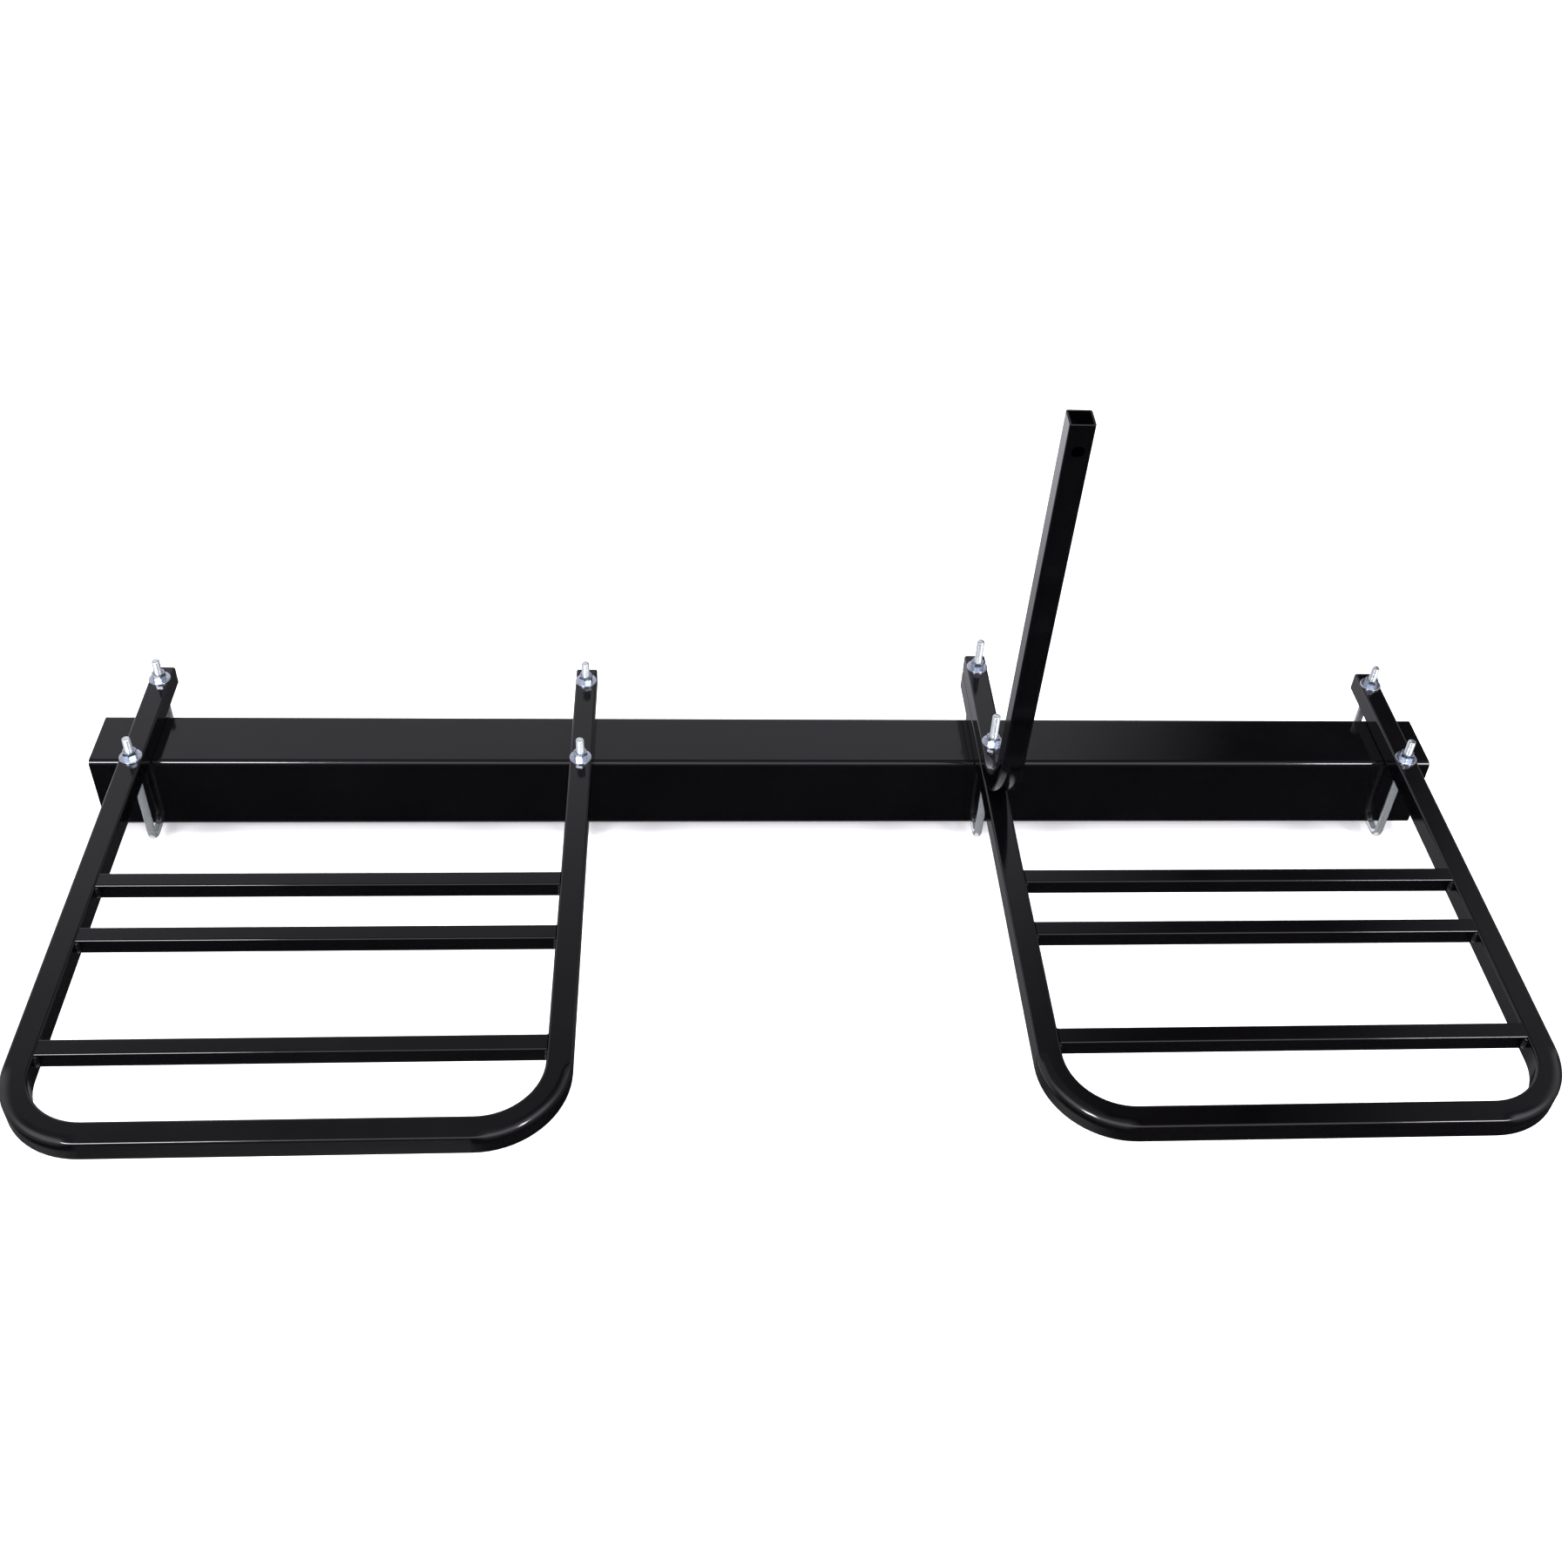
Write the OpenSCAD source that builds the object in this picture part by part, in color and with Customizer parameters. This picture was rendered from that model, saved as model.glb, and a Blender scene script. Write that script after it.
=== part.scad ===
// Two-cradle wheel carrier on a square-cornered vehicle bumper tube.
// Row frame: x along the bumper, y from front (-) to vehicle (+), z up.
// The origin is the middle of the bumper tube's back face.

/* [Bumper tube] */
// Length of the bumper tube along x
bumper_len = 1600; // [1540:10:1900]
// Depth of the bumper tube front to back
bumper_depth = 83; // [76:1:100]
// Height of the bumper tube
bumper_h = 101.6; // [90:0.1:114]
// Outer corner radius of the bumper tube
bumper_r = 6; // [4:0.5:9]
// Wall of the bumper tube
bumper_wall = 3; // [2:0.5:3.5]

/* [Cradle frames] */
// Square tube size of the bent frames and of the post
tube = 25.4; // [24:0.1:27]
// Outer corner radius of that tube
tube_r = 2.6; // [2.2:0.1:3.5]
// Wall of that tube
tube_wall = 2; // [1.6:0.1:2]
// Centre distance between the two legs of a frame
leg_pitch = 508; // [460:1:530]
// Centre-line radius of the two front bends
bend_r = 76.2; // [60:0.1:85]
// How far the legs stick out behind the bumper's back face
leg_back = 57; // [54:1:80]
// Distance from the bumper's back face to the front rail's centre line
front_rail_y = 608.5; // [600:0.5:660]
// Middle of the left frame on x
left_x = -488; // [-495:1:-480]
// Middle of the right frame on x
right_x = 501; // [490:1:505]

/* [Crossbars] */
// Square tube size of the crossbars
bar = 19.05; // [17:0.05:22]
// Outer corner radius of the crossbars
bar_r = 2; // [1.8:0.1:2.5]
// Wall of the crossbars
bar_wall = 1.6; // [1.2:0.1:1.7]
// Rear crossbar's distance from the bumper's back face
bar1_y = 292.5; // [285:0.5:300]
// Middle crossbar's distance from the bumper's back face
bar2_y = 368.5; // [360:0.5:380]
// Front crossbar's distance from the bumper's back face
bar3_y = 511; // [500:0.5:515]
// Leg length of the fillet welds at the crossbar ends
weld = 3; // [2:0.1:4]

/* [Post] */
// Centre-line radius of the bend at the post's foot
post_bend_r = 76.2; // [60:0.1:85]
// Angle of that bend
post_bend_deg = 86; // [84:0.5:90]
// Where the foot's straight run ends, from the bumper's back face
post_bend_y = 122.8; // [118:0.1:140]
// Length of the upright's straight run
post_len = 460; // [300:5:600]
// Distance of the cross hole from the top end
hole_down = 30; // [25:0.5:60]
// Diameter of the cross hole
hole_d = 12.7; // [9:0.1:14]

/* [Clamping hardware] */
// Rod diameter of the U-bolts
rod_d = 9.525; // [9.4:0.005:9.6]
// Centre-line radius of the U-bolts' two corners
ubolt_r = 12.5; // [11:0.5:16]
// Front leg's distance from the bumper's back face
stud_front_y = 102; // [100:0.5:104]
// How far the rear leg stands behind the back face
stud_rear_y = 36.7; // [35:0.1:38]
// Overall height of the three short U-bolts
ubolt_h = 165.1; // [163:0.1:172]
// Overall height of the long U-bolt that also holds the post's foot
ubolt_long_h = 203.2; // [195:0.1:210]
// Hole in the tubes for a U-bolt leg
stud_hole_d = 11.1; // [10.8:0.1:12]
// Width across the nut's flats
nut_af = 14.29; // [14.2:0.01:14.4]
// Height of the nut
nut_h = 8.33; // [8:0.01:8.6]
// Outer diameter of the flat washers
washer_d = 25.4; // [22:0.1:25.4]
// Thickness of the flat washers
washer_t = 2; // [1.6:0.1:2.4]

/* [Hidden] */
deck_z = bumper_h / 2;
top_z = deck_z + tube;
leg_z = deck_z + tube / 2;
half = leg_pitch / 2;
nut_bore_r = rod_d / 2 + 0.05;
ubolt_bottom = -bumper_h / 2 - rod_d - 0.05;
foot_z = top_z + tube / 2;
split = 0.02;

// filled square or rectangle with round corners, centred
module round_rect(w, h, r) {
  union() {
    square([w - 2 * r, h], center = true);
    square([w, h - 2 * r], center = true);
    for (sx = [-1, 1], sy = [-1, 1])
      translate([sx * (w / 2 - r), sy * (h / 2 - r)]) circle(r = r, $fn = 32);
  }
}

// ring section of a tube
module ring(w, h, r, t) {
  difference() {
    round_rect(w, h, r);
    round_rect(w - 2 * t, h - 2 * t, max(r - t, 0.5));
  }
}

// straight tube of length l along +x from the origin
module tube_x(w, h, r, t, l) {
  rotate([90, 0, 90]) linear_extrude(height = l) ring(w, h, r, t);
}

// straight tube of length l along +y from the origin
module tube_y(w, h, r, t, l) {
  translate([0, l, 0]) rotate([90, 0, 0]) linear_extrude(height = l) ring(w, h, r, t);
}

module stud_holes(x, z0, z1) {
  for (y = [-stud_front_y, stud_rear_y])
    translate([x, y, z0]) cylinder(d = stud_hole_d, h = z1 - z0, $fn = 40);
}

module bumper_tube() {
  color([0.04, 0.04, 0.045])
    translate([-bumper_len / 2, -bumper_depth / 2, 0])
      tube_x(bumper_depth, bumper_h, bumper_r, bumper_wall, bumper_len);
}

// one bent frame: two legs, two bends and the front rail, drilled for the U-bolts
module frame_tube(cx) {
  leg_front = -front_rail_y + bend_r;
  color([0.05, 0.05, 0.055])
    difference() {
      union() {
        for (s = [-1, 1])
          translate([cx + s * half, leg_front, leg_z])
            tube_y(tube, tube, tube_r, tube_wall, leg_back - leg_front);
        translate([cx - half + bend_r, leg_front, leg_z]) rotate([0, 0, 180])
          rotate_extrude(angle = 90, $fn = 96) translate([bend_r, 0]) ring(tube, tube, tube_r, tube_wall);
        translate([cx + half - bend_r, leg_front, leg_z]) rotate([0, 0, 270])
          rotate_extrude(angle = 90, $fn = 96) translate([bend_r, 0]) ring(tube, tube, tube_r, tube_wall);
        translate([cx - half + bend_r, -front_rail_y, leg_z])
          tube_x(tube, tube, tube_r, tube_wall, leg_pitch - 2 * bend_r);
      }
      for (s = [-1, 1]) stud_holes(cx + s * half, deck_z - 1, top_z + 1);
    }
}

module crossbar(cx, y) {
  color([0.05, 0.05, 0.055])
    translate([cx - half + tube / 2, -y, top_z - bar / 2])
      tube_x(bar, bar, bar_r, bar_wall, leg_pitch - tube);
}

// three fillet welds where a crossbar meets a leg: front, back and under
module end_weld(x, s, y) {
  zc = top_z - bar / 2;
  run = bar - 2 * bar_r - 0.6;
  for (f = [-1, 1])
    translate([x, -y + f * bar / 2, zc - run / 2])
      linear_extrude(height = run) polygon([[0, 0], [s * weld, 0], [0, f * weld]]);
  translate([x, -y + run / 2, zc - bar / 2]) rotate([90, 0, 0])
    linear_extrude(height = run) polygon([[0, 0], [s * weld, 0], [0, -weld]]);
}

module frame_welds(cx) {
  color([0.07, 0.07, 0.075])
    for (y = [bar1_y, bar2_y, bar3_y]) {
      end_weld(cx - half + tube / 2, 1, y);
      end_weld(cx + half - tube / 2, -1, y);
    }
}

// push-in end plug: a thin head with a round-cornered rim and a ribbed stem
module plug(x, y, z) {
  inner = tube - 2 * tube_wall;
  color([0.09, 0.09, 0.09])
    translate([x, y, z]) rotate([-90, 0, 0]) {
      linear_extrude(height = 2.4) round_rect(tube, tube, tube_r);
      translate([0, 0, 2.4]) linear_extrude(height = 1) round_rect(tube - 4, tube - 4, 2);
      translate([0, 0, -12]) linear_extrude(height = 12)
        difference() {
          round_rect(inner - 1.4, inner - 1.4, 1);
          round_rect(inner - 5, inner - 5, 1);
        }
      for (k = [0 : 2]) translate([0, 0, -3 - 4 * k]) linear_extrude(height = 1)
        difference() {
          round_rect(inner - 0.1, inner - 0.1, 0.6);
          round_rect(inner - 3, inner - 3, 1);
        }
    }
}

// bent post: foot along the right frame's inner leg, bend, upright with a cross hole
module post_tube() {
  x = right_x - half;
  color([0.05, 0.05, 0.055])
    difference() {
      union() {
        translate([x, -post_bend_y, foot_z]) tube_y(tube, tube, tube_r, tube_wall, leg_back + post_bend_y);
        translate([x, -post_bend_y, foot_z + post_bend_r]) rotate([0, 90, 180]) {
          rotate_extrude(angle = post_bend_deg, $fn = 96)
            translate([post_bend_r, 0]) ring(tube, tube, tube_r, tube_wall);
          // hairline split where the bend ends: one tube, two solids, so the
          // collision pieces of the straight part don't bridge the bend
          rotate([0, 0, post_bend_deg]) translate([post_bend_r, split, 0]) rotate([-90, 0, 0])
            linear_extrude(height = post_len - split) ring(tube, tube, tube_r, tube_wall);
        }
      }
      stud_holes(x, top_z - 1, top_z + tube + 1);
      translate([x, -post_bend_y, foot_z + post_bend_r]) rotate([0, 90, 180])
        rotate([0, 0, post_bend_deg]) translate([post_bend_r - tube, post_len - hole_down, 0])
          rotate([0, 90, 0]) cylinder(d = hole_d, h = 2 * tube, $fn = 40);
    }
}

// square-cornered U-bolt with chamfered ends
module u_bolt(x, h) {
  yf = -stud_front_y;
  yr = stud_rear_y;
  zb = ubolt_bottom + rod_d / 2;
  color([0.72, 0.75, 0.78])
    union() {
      for (y = [yf, yr]) {
        translate([x, y, zb + ubolt_r]) cylinder(d = rod_d, h = h - rod_d / 2 - ubolt_r - 1, $fn = 40);
        translate([x, y, zb + h - rod_d / 2 - 1]) cylinder(d1 = rod_d, d2 = rod_d - 2, h = 1, $fn = 40);
      }
      translate([x, yf + ubolt_r, zb + ubolt_r]) rotate([0, 90, 0]) rotate([0, 0, 270])
        rotate_extrude(angle = 90, $fn = 64) translate([ubolt_r, 0]) circle(d = rod_d, $fn = 40);
      translate([x, yr - ubolt_r, zb + ubolt_r]) rotate([0, 90, 0])
        rotate_extrude(angle = 90, $fn = 64) translate([ubolt_r, 0]) circle(d = rod_d, $fn = 40);
      translate([x, yr - ubolt_r, zb]) rotate([90, 0, 0]) cylinder(d = rod_d, h = yr - yf - 2 * ubolt_r, $fn = 40);
    }
}

module washer(x, y, z) {
  color([0.70, 0.73, 0.77])
    translate([x, y, z]) difference() {
      cylinder(d = washer_d, h = washer_t, $fn = 48);
      translate([0, 0, -1]) cylinder(d = rod_d + 0.8, h = washer_t + 2, $fn = 40);
    }
}

// hex nut, corners turned down at both faces
module nut(x, y, z) {
  rc = nut_af / 2 / cos(30);
  color([0.75, 0.78, 0.82])
    translate([x, y, z]) difference() {
      intersection() {
        cylinder(r = rc, h = nut_h, $fn = 6);
        union() {
          cylinder(r1 = nut_af / 2, r2 = rc + 0.05, h = 0.8, $fn = 48);
          translate([0, 0, 0.8]) cylinder(r = rc + 0.05, h = nut_h - 1.6, $fn = 48);
          translate([0, 0, nut_h - 0.8]) cylinder(r1 = rc + 0.05, r2 = nut_af / 2, h = 0.8, $fn = 48);
        }
      }
      translate([0, 0, -1]) cylinder(r = nut_bore_r, h = nut_h + 2, $fn = 40);
    }
}

x1 = left_x - half;
x2 = left_x + half;
x3 = right_x - half;
x4 = right_x + half;
yf = -stud_front_y;
yr = stud_rear_y;
hi = top_z + tube;

bumper_tube();
frame_tube(left_x);  // left_frame_tube
crossbar(left_x, bar1_y);  // left_crossbar_rear
crossbar(left_x, bar2_y);  // left_crossbar_middle
crossbar(left_x, bar3_y);  // left_crossbar_front
frame_welds(left_x);  // left_frame_welds
plug(x1, leg_back, leg_z);  // left_plug_outer
plug(x2, leg_back, leg_z);  // left_plug_inner
frame_tube(right_x);  // right_frame_tube
crossbar(right_x, bar1_y);  // right_crossbar_rear
crossbar(right_x, bar2_y);  // right_crossbar_middle
crossbar(right_x, bar3_y);  // right_crossbar_front
frame_welds(right_x);  // right_frame_welds
plug(x3, leg_back, leg_z);  // right_plug_inner
plug(x4, leg_back, leg_z);  // right_plug_outer
post_tube();
plug(x3, leg_back, foot_z);  // post_foot_plug
u_bolt(x1, ubolt_h);  // u_bolt_1
u_bolt(x2, ubolt_h);  // u_bolt_2
u_bolt(x3, ubolt_long_h);  // u_bolt_3
u_bolt(x4, ubolt_h);  // u_bolt_4
washer(x1, yf, top_z);  // washer_1_front
washer(x1, yr, top_z);  // washer_1_rear
washer(x2, yf, top_z);  // washer_2_front
washer(x2, yr, top_z);  // washer_2_rear
washer(x3, yf, hi);  // washer_3_front
washer(x3, yr, hi);  // washer_3_rear
washer(x4, yf, top_z);  // washer_4_front
washer(x4, yr, top_z);  // washer_4_rear
nut(x1, yf, top_z + washer_t);  // nut_1_front
nut(x1, yr, top_z + washer_t);  // nut_1_rear
nut(x2, yf, top_z + washer_t);  // nut_2_front
nut(x2, yr, top_z + washer_t);  // nut_2_rear
nut(x3, yf, hi + washer_t);  // nut_3_front
nut(x3, yr, hi + washer_t);  // nut_3_rear
nut(x4, yf, top_z + washer_t);  // nut_4_front
nut(x4, yr, top_z + washer_t);  // nut_4_rear
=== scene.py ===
import math
import bpy
import bmesh
from mathutils import Matrix, Vector


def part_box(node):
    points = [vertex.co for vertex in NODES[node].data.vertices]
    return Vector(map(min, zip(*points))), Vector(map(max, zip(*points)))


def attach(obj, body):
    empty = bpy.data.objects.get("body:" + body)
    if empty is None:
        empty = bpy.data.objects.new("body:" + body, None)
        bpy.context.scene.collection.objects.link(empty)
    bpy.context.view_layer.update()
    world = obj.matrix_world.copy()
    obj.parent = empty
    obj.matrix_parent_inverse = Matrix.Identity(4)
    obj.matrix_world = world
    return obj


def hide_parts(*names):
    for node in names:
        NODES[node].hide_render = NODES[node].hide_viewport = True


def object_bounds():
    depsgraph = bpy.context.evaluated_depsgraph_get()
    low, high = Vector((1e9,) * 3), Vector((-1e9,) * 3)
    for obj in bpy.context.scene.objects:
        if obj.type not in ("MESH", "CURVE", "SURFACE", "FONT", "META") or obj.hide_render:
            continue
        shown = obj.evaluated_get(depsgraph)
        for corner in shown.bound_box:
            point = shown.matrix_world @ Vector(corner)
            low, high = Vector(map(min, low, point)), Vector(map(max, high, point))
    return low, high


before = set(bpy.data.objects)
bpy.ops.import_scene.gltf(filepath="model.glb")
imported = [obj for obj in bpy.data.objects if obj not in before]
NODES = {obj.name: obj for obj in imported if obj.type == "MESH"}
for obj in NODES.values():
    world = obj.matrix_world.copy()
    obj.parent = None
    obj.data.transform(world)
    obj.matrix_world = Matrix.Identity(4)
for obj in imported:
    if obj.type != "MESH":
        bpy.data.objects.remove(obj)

CAD_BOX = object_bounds()
scene = bpy.context.scene


# ---------------------------------------------------------------- camera
def make_camera():
    f, px, py = 1932.347, 933.184, 788.739
    yaw, pitch, roll = 0.1029254, 0.6967155, 0.0708866
    place = Vector((-0.0973244 - 0.0222, -1.5148998 - 0.0414, 1.4076059 + 0.00084))
    fwd = Vector((math.sin(yaw) * math.cos(pitch), math.cos(yaw) * math.cos(pitch), -math.sin(pitch)))
    right = Vector((math.cos(yaw), -math.sin(yaw), 0.0))
    up = right.cross(fwd)
    cr, sr = math.cos(roll), math.sin(roll)
    r2 = right * cr + up * sr
    u2 = up * cr - right * sr
    m = Matrix((
        (r2.x, u2.x, -fwd.x, place.x),
        (r2.y, u2.y, -fwd.y, place.y),
        (r2.z, u2.z, -fwd.z, place.z),
        (0, 0, 0, 1)))
    data = bpy.data.cameras.new("camera")
    data.sensor_width = 36.0
    data.lens = 36.0 * f / 1800.0
    data.shift_x = 0.5 - px / 1800.0
    data.shift_y = py / 1800.0 - 0.5
    data.clip_start, data.clip_end = 0.05, 60.0
    cam = bpy.data.objects.new("camera", data)
    cam.matrix_world = m
    scene.collection.objects.link(cam)
    scene.camera = cam


make_camera()


# ---------------------------------------------------------------- node helpers
def material(name):
    m = bpy.data.materials.new(name)
    m.use_nodes = True
    t = m.node_tree
    t.nodes.clear()
    out = t.nodes.new("ShaderNodeOutputMaterial")
    bsdf = t.nodes.new("ShaderNodeBsdfPrincipled")
    t.links.new(bsdf.outputs[0], out.inputs[0])
    return m, t, bsdf


def coords(t, scale=(1, 1, 1), loc=(0, 0, 0)):
    tc = t.nodes.new("ShaderNodeTexCoord")
    mp = t.nodes.new("ShaderNodeMapping")
    mp.inputs["Scale"].default_value = scale
    mp.inputs["Location"].default_value = loc
    t.links.new(tc.outputs["Object"], mp.inputs["Vector"])
    return mp.outputs["Vector"]


def noise(t, vec, scale, detail=2.0, rough=0.5, dist=0.0):
    n = t.nodes.new("ShaderNodeTexNoise")
    n.inputs["Scale"].default_value = scale
    n.inputs["Detail"].default_value = detail
    n.inputs["Roughness"].default_value = rough
    n.inputs["Distortion"].default_value = dist
    t.links.new(vec, n.inputs["Vector"])
    return n.outputs["Fac"]


def ramp(t, fac, stops):
    r = t.nodes.new("ShaderNodeValToRGB")
    e = r.color_ramp.elements
    while len(e) > 1:
        e.remove(e[0])
    e[0].position = stops[0][0]
    e[0].color = tuple(stops[0][1]) + (1,) if len(stops[0][1]) == 3 else stops[0][1]
    for p, c in stops[1:]:
        k = e.new(p)
        k.color = tuple(c) + (1,)
    t.links.new(fac, r.inputs["Fac"])
    return r.outputs["Color"]


def remap(t, fac, lo, hi, a, b):
    m = t.nodes.new("ShaderNodeMapRange")
    m.inputs["From Min"].default_value = lo
    m.inputs["From Max"].default_value = hi
    m.inputs["To Min"].default_value = a
    m.inputs["To Max"].default_value = b
    t.links.new(fac, m.inputs["Value"])
    return m.outputs["Result"]


def math_node(t, op, a, b=None, clamp=False):
    m = t.nodes.new("ShaderNodeMath")
    m.operation = op
    m.use_clamp = clamp
    for i, v in enumerate((a, b)):
        if v is None:
            continue
        if isinstance(v, (int, float)):
            m.inputs[i].default_value = v
        else:
            t.links.new(v, m.inputs[i])
    return m.outputs[0]


def bump(t, height, strength, distance, normal=None):
    b = t.nodes.new("ShaderNodeBump")
    b.inputs["Strength"].default_value = strength
    b.inputs["Distance"].default_value = distance
    t.links.new(height, b.inputs["Height"])
    if normal is not None:
        t.links.new(normal, b.inputs["Normal"])
    return b.outputs["Normal"]


def crown_normal(t, axes, centre, mid, top_only=False):
    """Normal of a square tube whose walls have crowned in a bend.

    axes: the two axes of the bend's plane and the axis across it, centre: the
    bend's centre in the plane (outwards is towards the named signs), mid: the
    middle of the tube across the plane, top_only: only the outer half of the
    upper side has crowned. Object space throughout.
    """
    (au, su), (av, sv), aw = axes
    tc = t.nodes.new("ShaderNodeTexCoord")
    pos = t.nodes.new("ShaderNodeSeparateXYZ")
    t.links.new(tc.outputs["Object"], pos.inputs[0])
    pu, pv, pw = pos.outputs[au], pos.outputs[av], pos.outputs[aw]
    if su == 0:          # a pair of mirrored bends about centre[0]
        off = math_node(t, "SUBTRACT", pu, centre[0])
        sgn = math_node(t, "SIGN", off)
        u = math_node(t, "SUBTRACT", math_node(t, "ABSOLUTE", off), centre[2])
    else:
        sgn = su
        u = math_node(t, "MULTIPLY", math_node(t, "SUBTRACT", pu, centre[0]), su)
    v = math_node(t, "MULTIPLY", math_node(t, "SUBTRACT", pv, centre[1]), sv)
    r = math_node(t, "SQRT", math_node(t, "ADD", math_node(t, "MULTIPLY", u, u), math_node(t, "MULTIPLY", v, v)))
    r = math_node(t, "MAXIMUM", r, 0.001)
    half = 0.0127

    def power(val):
        mag = math_node(t, "POWER", math_node(t, "ABSOLUTE", val), 1.8)
        return math_node(t, "MULTIPLY", math_node(t, "SIGN", val), mag)

    across = power(math_node(t, "DIVIDE", math_node(t, "SUBTRACT", pw, mid), half))
    radial = power(math_node(t, "DIVIDE", math_node(t, "SUBTRACT", r, 0.0762), half))
    ru = math_node(t, "MULTIPLY", math_node(t, "DIVIDE", u, r), radial)
    rv = math_node(t, "MULTIPLY", math_node(t, "DIVIDE", v, r), math_node(t, "MULTIPLY", radial, sv))
    ru = math_node(t, "MULTIPLY", ru, sgn)
    comb = t.nodes.new("ShaderNodeCombineXYZ")
    t.links.new(ru, comb.inputs[au])
    t.links.new(rv, comb.inputs[av])
    t.links.new(across, comb.inputs[aw])
    nz = t.nodes.new("ShaderNodeVectorMath")
    nz.operation = "NORMALIZE"
    t.links.new(comb.outputs[0], nz.inputs[0])
    dot = t.nodes.new("ShaderNodeVectorMath")
    dot.operation = "DOT_PRODUCT"
    t.links.new(nz.outputs[0], dot.inputs[0])
    t.links.new(tc.outputs["Normal"], dot.inputs[1])

    def smooth(val, lo, hi):
        n = t.nodes.new("ShaderNodeMapRange")
        n.interpolation_type = "SMOOTHSTEP"
        n.inputs["From Min"].default_value = lo
        n.inputs["From Max"].default_value = hi
        t.links.new(val, n.inputs["Value"])
        return n.outputs[0]

    mask = math_node(t, "MULTIPLY", math_node(t, "MULTIPLY", smooth(u, -0.002, 0.016), smooth(v, -0.002, 0.016)),
                     smooth(dot.outputs["Value"], 0.2, 0.4))
    if top_only:
        mask = math_node(t, "MULTIPLY", mask, math_node(t, "MULTIPLY", smooth(pw, mid - 0.001, mid + 0.006),
                                                        smooth(r, 0.0762, 0.0792)))
    mix = t.nodes.new("ShaderNodeMix")
    mix.data_type = "VECTOR"
    t.links.new(mask, mix.inputs[0])
    t.links.new(tc.outputs["Normal"], mix.inputs[4])
    t.links.new(nz.outputs[0], mix.inputs[5])
    tr = t.nodes.new("ShaderNodeVectorTransform")
    tr.vector_type = "NORMAL"
    tr.convert_from, tr.convert_to = "OBJECT", "WORLD"
    t.links.new(mix.outputs[1], tr.inputs[0])
    return tr.outputs[0]


# ---------------------------------------------------------------- materials
def paint(name, dark, light, rough_lo, rough_hi, peel=0.025, coat=0.0, crown=None):
    """Gloss black powder coat: orange peel, faint dust and polishing marks."""
    m, t, b = material(name)
    v = coords(t)
    cloud = noise(t, v, 9.0, 4.0, 0.55)
    speck = noise(t, v, 900.0, 2.0, 0.6)
    both = math_node(t, "ADD", math_node(t, "MULTIPLY", cloud, 0.65), math_node(t, "MULTIPLY", speck, 0.35))
    t.links.new(ramp(t, both, [(0.34, dark), (0.66, light)]), b.inputs["Base Color"])
    streak = noise(t, coords(t, (40, 40, 260)), 3.0, 3.0, 0.6, 0.4)
    rr = math_node(t, "ADD", remap(t, cloud, 0.3, 0.7, rough_lo, rough_hi),
                   remap(t, streak, 0.35, 0.75, -0.015, 0.03))
    t.links.new(rr, b.inputs["Roughness"])
    peel_h = math_node(t, "ADD", math_node(t, "MULTIPLY", noise(t, v, 240.0, 2.0, 0.5), 1.0),
                       math_node(t, "MULTIPLY", noise(t, v, 70.0, 1.0, 0.5), 1.5))
    nrm = bump(t, peel_h, peel, 0.00035, crown_normal(t, *crown) if crown else None)
    t.links.new(nrm, b.inputs["Normal"])
    b.inputs["IOR"].default_value = 1.5
    if coat:
        b.inputs["Coat Weight"].default_value = coat
        b.inputs["Coat Roughness"].default_value = 0.05
        b.inputs["Coat IOR"].default_value = 1.45
    return m


def zinc(name, base, dull, rough_lo, rough_hi, lumps=0.10, metal=1.0, thread=None):
    """Bright zinc plate: bluish, with crystal mottling, rub marks and a fine lumpy surface.

    thread: (z0, z1, metal) makes the rolled threads above z1 more metallic than the duller shank."""
    m, t, b = material(name)
    v = coords(t)
    vor = t.nodes.new("ShaderNodeTexVoronoi")
    vor.inputs["Scale"].default_value = 420.0
    t.links.new(v, vor.inputs["Vector"])
    blot = noise(t, v, 210.0, 4.0, 0.6, 0.2)
    mix = math_node(t, "ADD", math_node(t, "MULTIPLY", blot, 0.75), math_node(t, "MULTIPLY", vor.outputs["Distance"], 0.25))
    t.links.new(ramp(t, mix, [(0.3, dull), (0.52, base), (0.75, tuple(min(1.0, c * 1.06) for c in base))]), b.inputs["Base Color"])
    b.inputs["Metallic"].default_value = metal
    if thread:
        sep = t.nodes.new("ShaderNodeSeparateXYZ")
        t.links.new(v, sep.inputs["Vector"])
        t.links.new(remap(t, sep.outputs["Z"], thread[0], thread[1], metal, thread[2]), b.inputs["Metallic"])
    rr = math_node(t, "ADD", remap(t, blot, 0.3, 0.7, rough_lo, rough_hi), remap(t, noise(t, v, 1500.0, 2.0), 0.3, 0.7, -0.03, 0.04))
    t.links.new(rr, b.inputs["Roughness"])
    h = math_node(t, "ADD", noise(t, v, 700.0, 3.0, 0.6), math_node(t, "MULTIPLY", vor.outputs["Distance"], 0.4))
    t.links.new(bump(t, h, lumps, 0.0002), b.inputs["Normal"])
    return m


def plastic(name):
    """Black polyethylene with a fine moulded grain and a faint patchy bloom."""
    m, t, b = material(name)
    v = coords(t)
    grain = noise(t, v, 1400.0, 3.0, 0.65)
    cloud = noise(t, v, 60.0, 3.0, 0.5)
    t.links.new(ramp(t, cloud, [(0.3, (0.012, 0.012, 0.012)), (0.7, (0.022, 0.022, 0.021))]), b.inputs["Base Color"])
    t.links.new(remap(t, grain, 0.3, 0.7, 0.42, 0.58), b.inputs["Roughness"])
    t.links.new(bump(t, grain, 0.25, 0.0002), b.inputs["Normal"])
    b.inputs["IOR"].default_value = 1.49
    return m


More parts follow.
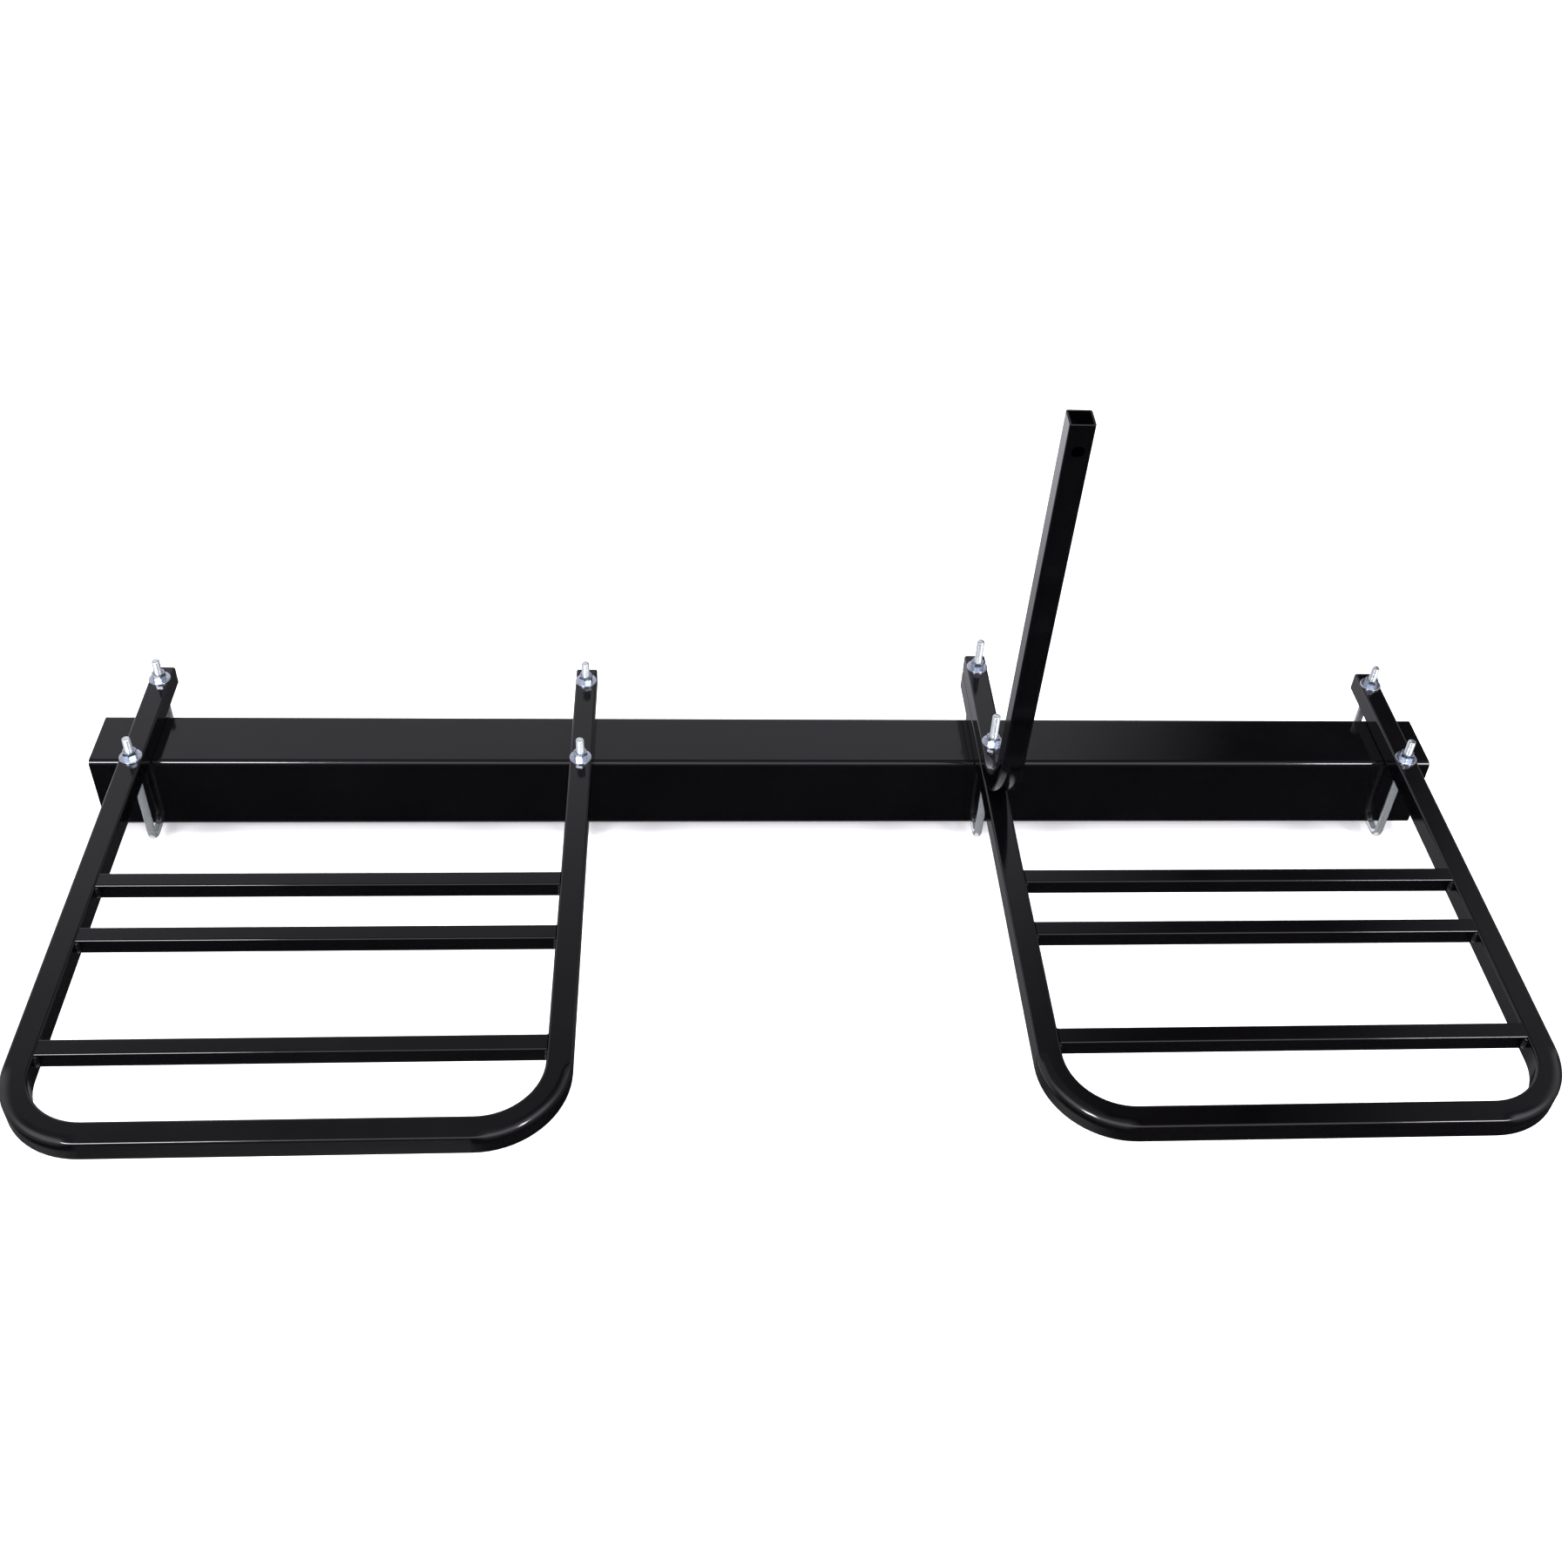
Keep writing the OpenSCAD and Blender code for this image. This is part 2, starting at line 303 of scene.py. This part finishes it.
bumper_paint = paint("bumper_paint", (0.0007, 0.0006, 0.0009), (0.0016, 0.0014, 0.0019), 0.06, 0.11)
frame_paint = paint("frame_paint", (0.0008, 0.0007, 0.0010), (0.0018, 0.0016, 0.0021), 0.07, 0.12)
HALF_W = 0.1778     # from a frame's middle to its bend centres
left_paint = paint("left_frame_paint", (0.0008, 0.0007, 0.0010), (0.0018, 0.0016, 0.0021), 0.07, 0.12,
                   crown=(((0, 0), (1, -1), 2), (-0.488, -0.5323, HALF_W), 0.0635, True))
right_paint = paint("right_frame_paint", (0.0008, 0.0007, 0.0010), (0.0018, 0.0016, 0.0021), 0.07, 0.12,
                    crown=(((0, 0), (1, -1), 2), (0.501, -0.5323, HALF_W), 0.0635, True))
post_paint = paint("post_paint", (0.0006, 0.0005, 0.0008), (0.0014, 0.0012, 0.0017), 0.08, 0.13,
                   crown=(((1, -1), (2, -1), 0), (-0.1228, 0.1651), 0.247))
weld_paint = paint("weld_paint", (0.0012, 0.0011, 0.0014), (0.0030, 0.0028, 0.0034), 0.09, 0.14, peel=0.06)
zinc_nut = zinc("zinc_nut", (0.54, 0.60, 0.69), (0.34, 0.40, 0.51), 0.16, 0.25, 0.08)
zinc_washer = zinc("zinc_washer", (0.62, 0.67, 0.74), (0.45, 0.51, 0.59), 0.19, 0.28, 0.06)
zinc_rod = zinc("zinc_rod", (0.67, 0.72, 0.73), (0.61, 0.66, 0.67), 0.17, 0.21, 0.008, 0.80,
                (0.055, 0.070, 0.95))
black_plastic = plastic("black_plastic")


def dress(node, mat):
    o = NODES[node]
    o.data.materials.clear()
    o.data.materials.append(mat)
    return o


for n in NODES:
    if "plug" in n:
        dress(n, black_plastic)
    elif "welds" in n:
        dress(n, weld_paint)
    elif n == "bumper_tube":
        dress(n, bumper_paint)
    elif n == "left_frame_tube":
        dress(n, left_paint)
    elif n == "right_frame_tube":
        dress(n, right_paint)
    elif n == "post_tube":
        dress(n, post_paint)
    elif n.startswith("u_bolt"):
        dress(n, zinc_rod)
    elif n.startswith("washer"):
        dress(n, zinc_washer)
    elif n.startswith("nut"):
        dress(n, zinc_nut)
    else:
        dress(n, frame_paint)


# ---------------------------------------------------------------- mesh helpers
def mesh_object(name, verts, faces, mat, body, node=None, smooth=40):
    me = bpy.data.meshes.new(name)
    me.from_pydata([tuple(v) for v in verts], [], faces)
    bm = bmesh.new()
    bm.from_mesh(me)
    bmesh.ops.remove_doubles(bm, verts=bm.verts, dist=1e-7)
    bmesh.ops.recalc_face_normals(bm, faces=bm.faces)
    for e in bm.edges:
        e.smooth = len(e.link_faces) == 2 and e.calc_face_angle(0.0) < math.radians(smooth)
    for f in bm.faces:
        f.smooth = True
    bm.to_mesh(me)
    bm.free()
    o = bpy.data.objects.new(name, me)
    me.materials.append(mat)
    scene.collection.objects.link(o)
    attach(o, body)
    if node:
        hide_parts(*([node] if isinstance(node, str) else node))
    return o


def bridge(rings, closed=True):
    """Faces between rings of equal vertex count, numbered one after another."""
    n, faces = len(rings[0]), []
    base = 0
    for k in range(len(rings) - 1):
        for i in range(n if closed else n - 1):
            j = (i + 1) % n
            faces.append((base + i, base + j, base + n + j, base + n + i))
        base += n
    return faces


# ---------------------------------------------------------------- U-bolts with real threads
ROD = 0.009525
PITCH = 0.0015875
CORNER = 0.0125
THREAD_LEN = 0.050


def thread_r(z, ang, z_low, z_top):
    """Radius of a rolled 3/8-16 thread at height z and angle ang."""
    major, minor = ROD / 2 - 0.00004, ROD / 2 - 0.00092
    ph = (z / PITCH - ang / (2 * math.pi)) % 1.0
    tri = 1 - abs(2 * ph - 1)
    tri = min(1.0, max(0.0, (tri - 0.14) / 0.68))
    r = minor + (major - minor) * tri
    run_in = min(1.0, max(0.0, (z - z_low) / (2.5 * PITCH)))
    r = (ROD / 2) * (1 - run_in) + r * run_in
    lead = max(0.0, (z - (z_top - 0.0011)))
    return min(r, ROD / 2 - 0.9 * lead)


def u_bolt(index):
    node = "u_bolt_%d" % index
    lo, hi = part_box(node)
    x = (lo.x + hi.x) / 2
    yf, yr = lo.y + ROD / 2, hi.y - ROD / 2
    zb, zt = lo.z + ROD / 2, hi.z
    z_low = zt - THREAD_LEN
    N = 28
    rings, verts = [], []

    def ring(p, e2, radius):
        r = []
        for i in range(N):
            a = 2 * math.pi * i / N
            rad = radius(a)
            r.append(p + Vector((1, 0, 0)) * (rad * math.cos(a)) + e2 * (rad * math.sin(a)))
        rings.append(r)

    steps = int(round(THREAD_LEN / (PITCH / 7)))
    zs = [zt - THREAD_LEN * k / steps for k in range(steps + 1)]
    Y, Z = Vector((0, 1, 0)), Vector((0, 0, 1))
    for z in zs:
        ring(Vector((x, yf, z)), Y, lambda a, z=z: thread_r(z, a, z_low, zt))
    for k in range(1, 5):
        z = z_low + (zb + CORNER - z_low) * k / 5
        ring(Vector((x, yf, z)), Y, lambda a: ROD / 2)
    for k in range(0, 13):
        th = math.pi / 2 * k / 12
        c = Vector((x, yf + CORNER, zb + CORNER))
        p = c + Y * (-math.cos(th) * CORNER) + Z * (-math.sin(th) * CORNER)
        e2 = Y * math.cos(th) + Z * math.sin(th)
        ring(p, e2, lambda a: ROD / 2)
    for k in range(1, 4):
        y = yf + CORNER + (yr - yf - 2 * CORNER) * k / 4
        ring(Vector((x, y, zb)), Z, lambda a: ROD / 2)
    for k in range(0, 13):
        th = math.pi / 2 * k / 12
        c = Vector((x, yr - CORNER, zb + CORNER))
        p = c + Y * (math.sin(th) * CORNER) + Z * (-math.cos(th) * CORNER)
        e2 = Z * math.cos(th) - Y * math.sin(th)
        ring(p, e2, lambda a: ROD / 2)
    for k in range(1, 5):
        z = zb + CORNER + (z_low - zb - CORNER) * k / 5
        ring(Vector((x, yr, z)), -Y, lambda a: ROD / 2)
    for z in reversed(zs):
        ring(Vector((x, yr, z)), -Y, lambda a, z=z: thread_r(z, -a, z_low, zt))
    for r in rings:
        verts += r
    faces = bridge(rings)
    n0 = len(verts) - N
    faces.append(tuple(reversed(range(N))))
    faces.append(tuple(range(n0, n0 + N)))
    o = mesh_object("threaded_" + node, verts, faces, zinc_rod, node, node, smooth=50)
    return o


# ---------------------------------------------------------------- nuts
def hex_nut(node, turn):
    lo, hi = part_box(node)
    c = (lo + hi) / 2
    z0, z1 = lo.z, hi.z
    af = 0.01429
    r0 = af / 2 * 0.975
    bore, sink = ROD / 2 + 0.00005, ROD / 2 + 0.0009
    n = 96
    prof = []
    for i in range(n):
        a = 2 * math.pi * i / n
        w = ((a + math.pi / 6) % (math.pi / 3)) - math.pi / 6
        R = af / 2 / math.cos(w)
        R = min(R, af / 2 / math.cos(math.pi / 6) * 0.985)
        zc = (R - r0) * math.tan(math.radians(30))
        prof.append((a + turn, R, zc))
    rows = [
        [(bore, z0 + 0.0009)] * n,
        [(sink, z0)] * n,
        [(r0, z0)] * n,
        [(p[1], z0 + p[2]) for p in prof],
        [(p[1], z1 - p[2]) for p in prof],
        [(r0, z1)] * n,
        [(sink, z1)] * n,
        [(bore, z1 - 0.0009)] * n,
        [(bore, z0 + 0.0009)] * n,
    ]
    verts, rings = [], []
    for row in rows:
        ring = []
        for (a, _, _), (r, z) in zip(prof, row):
            ring.append(Vector((c.x + r * math.cos(a), c.y + r * math.sin(a), z)))
        rings.append(ring)
        verts += ring
    body = node
    o = mesh_object("hex_" + node, verts, bridge(rings), zinc_nut, body, node, smooth=24)
    return o


# ---------------------------------------------------------------- washers
def washer(node, tilt_seed):
    lo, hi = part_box(node)
    c = (lo + hi) / 2
    R, h = (hi.x - lo.x) / 2, hi.z - lo.z
    r = ROD / 2 + 0.0004
    z0, z1 = lo.z, hi.z
    # punched edge: rolled over on the upper side, sharp on the lower
    prof = [(r, z0 + 0.0002), (r + 0.0002, z0), (R - 0.00015, z0), (R, z0 + 0.00015), (R, z1 - 0.0007)]
    for k in range(1, 6):
        a = math.pi / 2 * k / 5
        prof.append((R - 0.0007 * (1 - math.cos(a)) , z1 - 0.0007 * (1 - math.sin(a))))
    prof += [((R + r) / 2, z1), (r + 0.0005, z1)]
    for k in range(1, 4):
        a = math.pi / 2 * k / 3
        prof.append((r + 0.0005 * (1 - math.sin(a)), z1 - 0.0005 * (1 - math.cos(a))))
    prof.append(prof[0])
    n, rings, verts = 72, [], []
    for (rr, z) in prof:
        ring = [Vector((c.x + rr * math.cos(2 * math.pi * i / n), c.y + rr * math.sin(2 * math.pi * i / n), z)) for i in range(n)]
        rings.append(ring)
        verts += ring
    body = "left_cradle" if node[7] in "12" else "right_cradle"
    return mesh_object("punched_" + node, verts, bridge(rings), zinc_washer, body, node, smooth=35)


for i in (1, 2, 3, 4):
    u_bolt(i)
    for k, place in enumerate(("front", "rear")):
        hex_nut("nut_%d_%s" % (i, place), math.radians((7, 31, 18, 50, 3, 26, 41, 12)[2 * (i - 1) + k]))
        washer("washer_%d_%s" % (i, place), i + k)


# ---------------------------------------------------------------- weld beads
def bead(verts, faces, start, along, n1, n2, length, leg, seed):
    """A rippled fillet bead with round ends, flat against the two tubes it joins."""
    L, M = 36, 7
    base = len(verts)
    rows = []
    for i in range(L + 1):
        s = i / L
        end = min(1.0, math.sqrt(max(0.0, 1 - (abs(2 * s - 1)) ** 5)))
        dimes = abs(math.sin(math.pi * (s * length / 0.0021) + seed))
        size = leg * (0.25 + 0.75 * end) * (0.90 + 0.10 * dimes + 0.04 * math.sin(9 * s + 3 * seed))
        p = start + along * (s * length)
        row = [p.copy()]
        for j in range(M):
            t = j / (M - 1)
            a = t * math.pi / 2
            flat = n1 * (1 - t) + n2 * t
            roundd = n1 * math.cos(a) + n2 * math.sin(a)
            row.append(p + (flat * 0.55 + roundd * 0.45) * size)
        rows.append(row)
    for row in rows:
        verts.extend(row)
    w = M + 1
    for i in range(L):
        for j in range(w):
            k = (j + 1) % w
            a, b = base + i * w + j, base + i * w + k
            faces.append((a, b, b + w, a + w))
    faces.append(tuple(base + j for j in range(w)))
    faces.append(tuple(base + L * w + j for j in reversed(range(w))))


def frame_beads(side):
    verts, faces = [], []
    tube_lo, tube_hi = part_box(side + "_frame_tube")
    seed = 0.4
    for bar in ("rear", "middle", "front"):
        lo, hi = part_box("%s_crossbar_%s" % (side, bar))
        z0, z1 = lo.z + 0.0022, hi.z - 0.0022
        for s, x in ((1, lo.x), (-1, hi.x)):
            X = Vector((s, 0, 0))
            for f, y in ((-1, lo.y), (1, hi.y)):
                seed += 1.37
                bead(verts, faces, Vector((x, y, z0)), Vector((0, 0, 1)), X, Vector((0, f, 0)), z1 - z0, 0.0031, seed)
            seed += 1.37
            bead(verts, faces, Vector((x, lo.y + 0.0022, lo.z)), Vector((0, 1, 0)), X, Vector((0, 0, -1)), hi.y - lo.y - 0.0044, 0.0031, seed)
    mesh_object(side + "_weld_beads", verts, faces, weld_paint, side + "_cradle", side + "_frame_welds", smooth=60)


frame_beads("left")
frame_beads("right")


# ---------------------------------------------------------------- floor
def make_floor():
    z = CAD_BOX[0].z - 0.0131     # clear of the U-bolts at the bottom of their slides
    s = 30.0
    me = bpy.data.meshes.new("floor")
    me.from_pydata([(-s, -s, z), (s, -s, z), (s, s, z), (-s, s, z)], [], [(0, 1, 2, 3)])
    o = bpy.data.objects.new("floor", me)
    m, t, b = material("floor_pale")
    v = coords(t)
    t.links.new(ramp(t, noise(t, v, 0.7, 2.0), [(0.3, (0.86, 0.86, 0.865)), (0.7, (0.88, 0.88, 0.885))]), b.inputs["Base Color"])
    b.inputs["Roughness"].default_value = 0.9
    b.inputs["Specular IOR Level"].default_value = 0.1
    b.inputs["Emission Color"].default_value = (1, 1, 1, 1)
    b.inputs["Emission Strength"].default_value = 0.30
    me.materials.append(m)
    scene.collection.objects.link(o)
    o.visible_glossy = False


make_floor()


# ---------------------------------------------------------------- light
def area(name, place, aim, size, power, colour=(1, 1, 1), glossy=True, diffuse=True):
    d = bpy.data.lights.new(name, "AREA")
    d.shape = "RECTANGLE"
    d.size, d.size_y = size
    d.energy = power
    d.color = colour
    o = bpy.data.objects.new(name, d)
    o.location = place
    o.rotation_mode = "QUATERNION"
    o.rotation_quaternion = (Vector(aim) - Vector(place)).to_track_quat("-Z", "Y")
    o.visible_glossy = glossy
    o.visible_diffuse = diffuse
    scene.collection.objects.link(o)
    return o


area("overhead", (0.0, 0.0, 4.0), (0, -0.1, 0), (5.0, 5.0), 300, glossy=False)
area("left_box", (-2.0, -2.9, 2.9), (-2.0, -0.2, 0), (1.1, 1.0), 95, (1.0, 0.97, 1.02))
area("right_box", (2.5, -2.9, 2.9), (2.5, -0.2, 0), (0.65, 1.0), 58, (1.0, 0.97, 1.02))


def make_world():
    w = bpy.data.worlds.new("studio")
    scene.world = w
    w.use_nodes = True
    t = w.node_tree
    t.nodes.clear()
    out = t.nodes.new("ShaderNodeOutputWorld")
    bg = t.nodes.new("ShaderNodeBackground")
    t.links.new(bg.outputs[0], out.inputs[0])
    tc = t.nodes.new("ShaderNodeTexCoord")
    sep = t.nodes.new("ShaderNodeSeparateXYZ")
    t.links.new(tc.outputs["Generated"], sep.inputs[0])
    x, y, z = sep.outputs
    # elevation in 0..1 (0.5 is the horizon)
    el = math_node(t, "MULTIPLY_ADD", math_node(t, "ARCSINE", z), 1 / math.pi)
    el.node.inputs[2].default_value = 0.5

    def e(deg):
        return 0.5 + deg / 180.0

    S = 2.0   # ramps hold radiance / S

    def g(v):
        return (v / S, v * 0.975 / S, v * 1.06 / S)

    back = ramp(t, el, [(0.0, g(0.10)), (e(-60), g(0.08)), (e(-47), g(0.20)), (e(-41), g(0.36)), (e(-35), g(0.65)), (e(-29), g(1.4)),
                        (e(-12), g(1.6)), (e(4), g(1.0)), (e(24), g(0.85)), (e(36.5), g(0.82)), (e(39.5), g(0.66)), (e(43), g(0.62)), (e(47), g(0.38)),
                        (e(52), g(0.20)), (e(70), g(0.20)), (1.0, g(0.30))])
    front = ramp(t, el, [(0.0, g(0.06)), (e(-45), g(0.032)), (e(-15), g(0.05)), (e(0), g(0.25)), (e(22), g(0.5)), (e(36), g(1.9)), (e(52), g(1.9)),
                         (e(66), g(0.5)), (1.0, g(0.30))])
    # the right of the back wall above the horizon is darker
    az = math_node(t, "ARCTAN2", x, y)
    shade = ramp(t, math_node(t, "MULTIPLY_ADD", az, 1 / (2 * math.pi)), [(0.0, (1, 1, 1))])
    shade.node.inputs[0].links[0].from_node.inputs[2].default_value = 0.5
    r = shade.node.color_ramp.elements

    def a(deg):
        return 0.5 + deg / 360.0

    r[0].position = a(14)
    r[0].color = (1, 1, 1, 1)
    for p, v in ((a(19), 0.58), (a(24), 0.05), (a(31), 0.04), (a(37), 0.5), (a(60), 0.8)):
        k = r.new(p)
        k.color = (v, v, v, 1)
    upper = t.nodes.new("ShaderNodeMapRange")
    upper.inputs["From Min"].default_value = e(2)
    upper.inputs["From Max"].default_value = e(20)
    t.links.new(el, upper.inputs["Value"])
    m1 = t.nodes.new("ShaderNodeMix")
    m1.data_type = "RGBA"
    t.links.new(upper.outputs[0], m1.inputs[0])
    m1.inputs[6].default_value = (1, 1, 1, 1)
    t.links.new(shade, m1.inputs[7])
    low = ramp(t, shade.node.inputs[0].links[0].from_socket, [(a(-70), (0.6,) * 3), (a(-35), (0.75,) * 3), (a(-18), (1,) * 3), (a(-4), (0.8,) * 3), (a(8), (0.16,) * 3), (a(60), (0.12,) * 3)])
    t.links.new(low, m1.inputs[6])
    m2 = t.nodes.new("ShaderNodeMix")
    m2.data_type = "RGBA"
    m2.blend_type = "MULTIPLY"
    m2.inputs[0].default_value = 1.0
    t.links.new(back, m2.inputs[6])
    t.links.new(m1.outputs[2], m2.inputs[7])
    side = t.nodes.new("ShaderNodeMapRange")
    side.interpolation_type = "SMOOTHSTEP"
    side.inputs["From Min"].default_value = -0.25
    side.inputs["From Max"].default_value = 0.25
    t.links.new(y, side.inputs["Value"])
    m3 = t.nodes.new("ShaderNodeMix")
    m3.data_type = "RGBA"
    t.links.new(side.outputs[0], m3.inputs[0])
    t.links.new(front, m3.inputs[6])
    t.links.new(m2.outputs[2], m3.inputs[7])
    # a small bright patch of floor straight below, a little to the left
    spot = t.nodes.new("ShaderNodeVectorMath")
    spot.operation = "DOT_PRODUCT"
    t.links.new(tc.outputs["Generated"], spot.inputs[0])
    spot.inputs[1].default_value = Vector((-0.14, -0.06, -1.0)).normalized()
    patch = t.nodes.new("ShaderNodeMapRange")
    patch.interpolation_type = "SMOOTHSTEP"
    patch.inputs["From Min"].default_value = math.cos(math.radians(34))
    patch.inputs["From Max"].default_value = math.cos(math.radians(20))
    t.links.new(spot.outputs["Value"], patch.inputs["Value"])
    m4 = t.nodes.new("ShaderNodeMix")
    m4.data_type = "RGBA"
    t.links.new(patch.outputs[0], m4.inputs[0])
    t.links.new(m3.outputs[2], m4.inputs[6])
    m4.inputs[7].default_value = (1.0 / S, 0.99 / S, 1.02 / S, 1)
    # the backdrop itself is plain and pale; the studio above lights and reflects
    path = t.nodes.new("ShaderNodeLightPath")
    m5 = t.nodes.new("ShaderNodeMix")
    m5.data_type = "RGBA"
    t.links.new(path.outputs["Is Camera Ray"], m5.inputs[0])
    t.links.new(m4.outputs[2], m5.inputs[6])
    m5.inputs[7].default_value = (0.93 / S, 0.93 / S, 0.935 / S, 1)
    t.links.new(m5.outputs[2], bg.inputs["Color"])
    bg.inputs["Strength"].default_value = S


make_world()
scene.view_settings.view_transform = "Standard"
